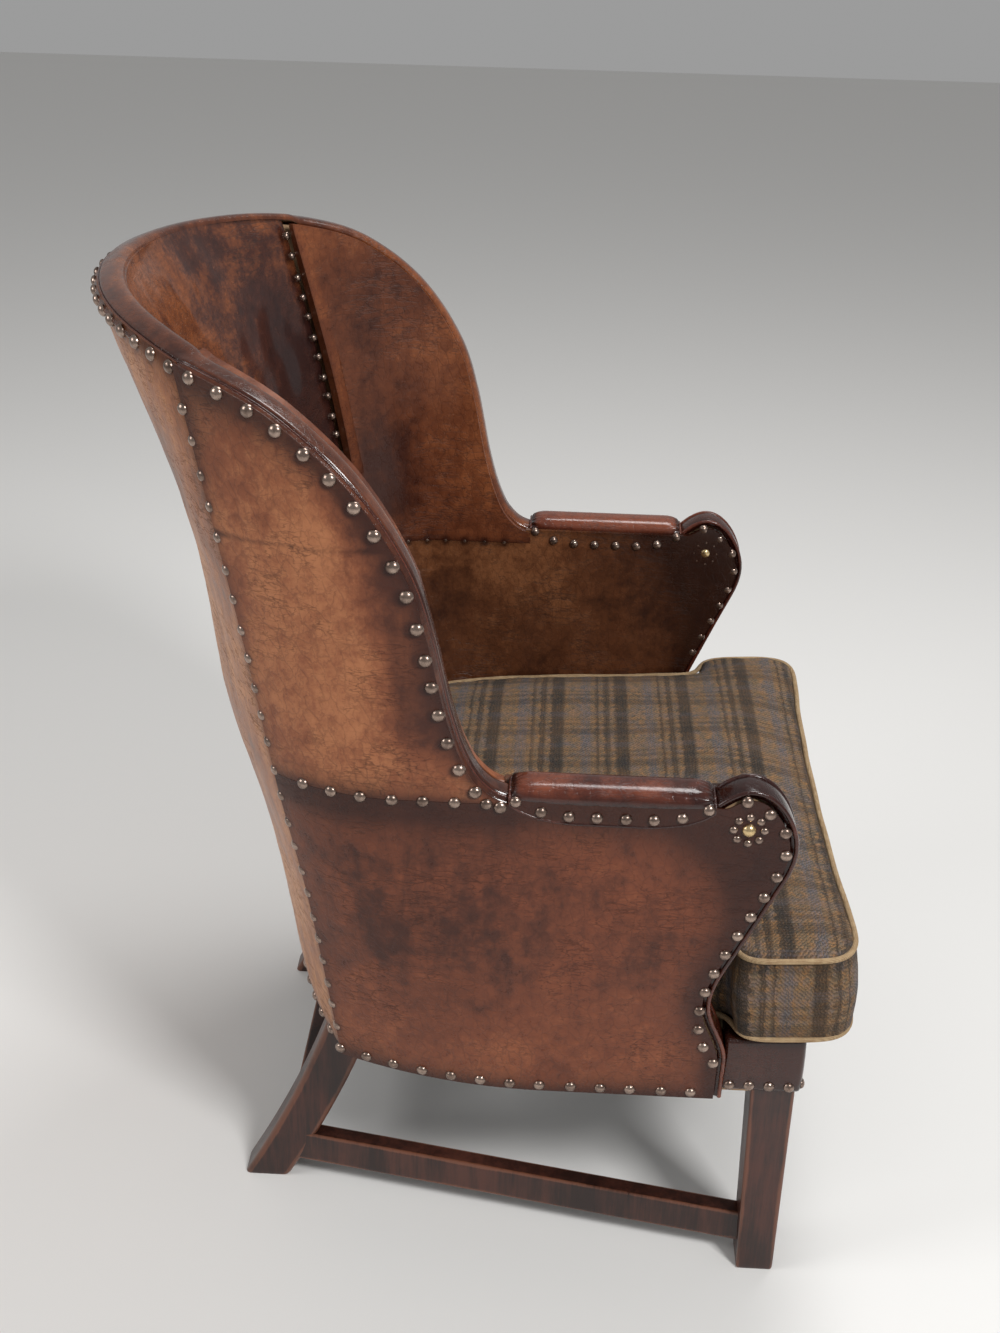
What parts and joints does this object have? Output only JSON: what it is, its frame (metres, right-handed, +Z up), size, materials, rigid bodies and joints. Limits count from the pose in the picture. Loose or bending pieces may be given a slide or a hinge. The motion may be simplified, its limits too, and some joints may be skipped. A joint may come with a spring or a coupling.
{
  "type": "hall porter chair",
  "caption": "Barrel-back leather hall chair with curved wings, padded arms, raked rear legs and a loose T-shaped seat cushion.",
  "frame": {"origin": "on the floor, under the middle of the chair's box", "axes": "+X to the sitter's left, -Y the way the chair faces, +Z up"},
  "size_m": [0.709, 0.7751, 1.002],
  "materials": {
    "polished_wood": "waxed dark mahogany",
    "frame_wood": "sawn beech",
    "outside_leather": "aged chestnut hide, waxed",
    "inside_leather": "aged chestnut hide, worn glossy",
    "trim_leather": "dark glossy hide",
    "nail_bronze": "dark bronzed",
    "boss_brass": "polished, slightly tarnished",
    "webbing": "jute",
    "hessian": "hessian over horsehair",
    "dust_cloth": "black cotton",
    "tweed": "woollen tweed, checked",
    "piping": "tan corded piping"
  },
  "bodies": {
    "frame": {"front_leg_left": "polished_wood", "rear_leg_left": "polished_wood", "side_stretcher_left": "polished_wood", "front_leg_right": "polished_wood", "rear_leg_right": "polished_wood", "side_stretcher_right": "polished_wood", "rear_stretcher": "polished_wood", "back_post_left": "frame_wood", "wing_rail_left": "frame_wood", "arm_rail_left": "frame_wood", "arm_post_left": "frame_wood", "seat_rail_left": "frame_wood", "back_post_right": "frame_wood", "wing_rail_right": "frame_wood", "arm_rail_right": "frame_wood", "arm_post_right": "frame_wood", "seat_rail_right": "frame_wood", "crest_rail": "frame_wood", "seat_rail_back": "frame_wood", "seat_rail_front": "frame_wood", "outside_back": "outside_leather", "outside_wing_left": "outside_leather", "outside_side_left": "outside_leather", "outside_wing_right": "outside_leather", "outside_side_right": "outside_leather", "inside_back": "inside_leather", "inside_wing_left": "inside_leather", "inside_arm_left": "inside_leather", "inside_wing_right": "inside_leather", "inside_arm_right": "inside_leather", "rim_roll_back": "trim_leather", "rim_roll_left": "trim_leather", "arm_pad_left": "trim_leather", "arm_facing_left": "trim_leather", "leg_top_cover_left": "trim_leather", "rim_roll_right": "trim_leather", "arm_pad_right": "trim_leather", "arm_facing_right": "trim_leather", "leg_top_cover_right": "trim_leather", "front_rail_cover": "trim_leather", "rim_nails": "nail_bronze", "back_seam_nails": "nail_bronze", "arm_seam_nails": "nail_bronze", "inside_seam_nails": "nail_bronze", "arm_front_nails": "nail_bronze", "arm_pad_nails": "nail_bronze", "bottom_nails": "nail_bronze", "front_cover_nails": "nail_bronze", "rosette_nails": "nail_bronze", "rosette_bosses": "boss_brass", "seat_webbing": "webbing", "seat_platform": "hessian", "dust_cover": "dust_cloth"},
    "cushion": {"seat_cushion": "tweed", "cushion_piping_top": "piping", "cushion_piping_bottom": "piping"}
  },
  "joints": [
    {"name": "cushion_slide", "type": "slide", "parent": "frame", "child": "cushion", "axis": [0, -0.9981, 0.061], "range_m": [0, 0.6]}
  ]
}
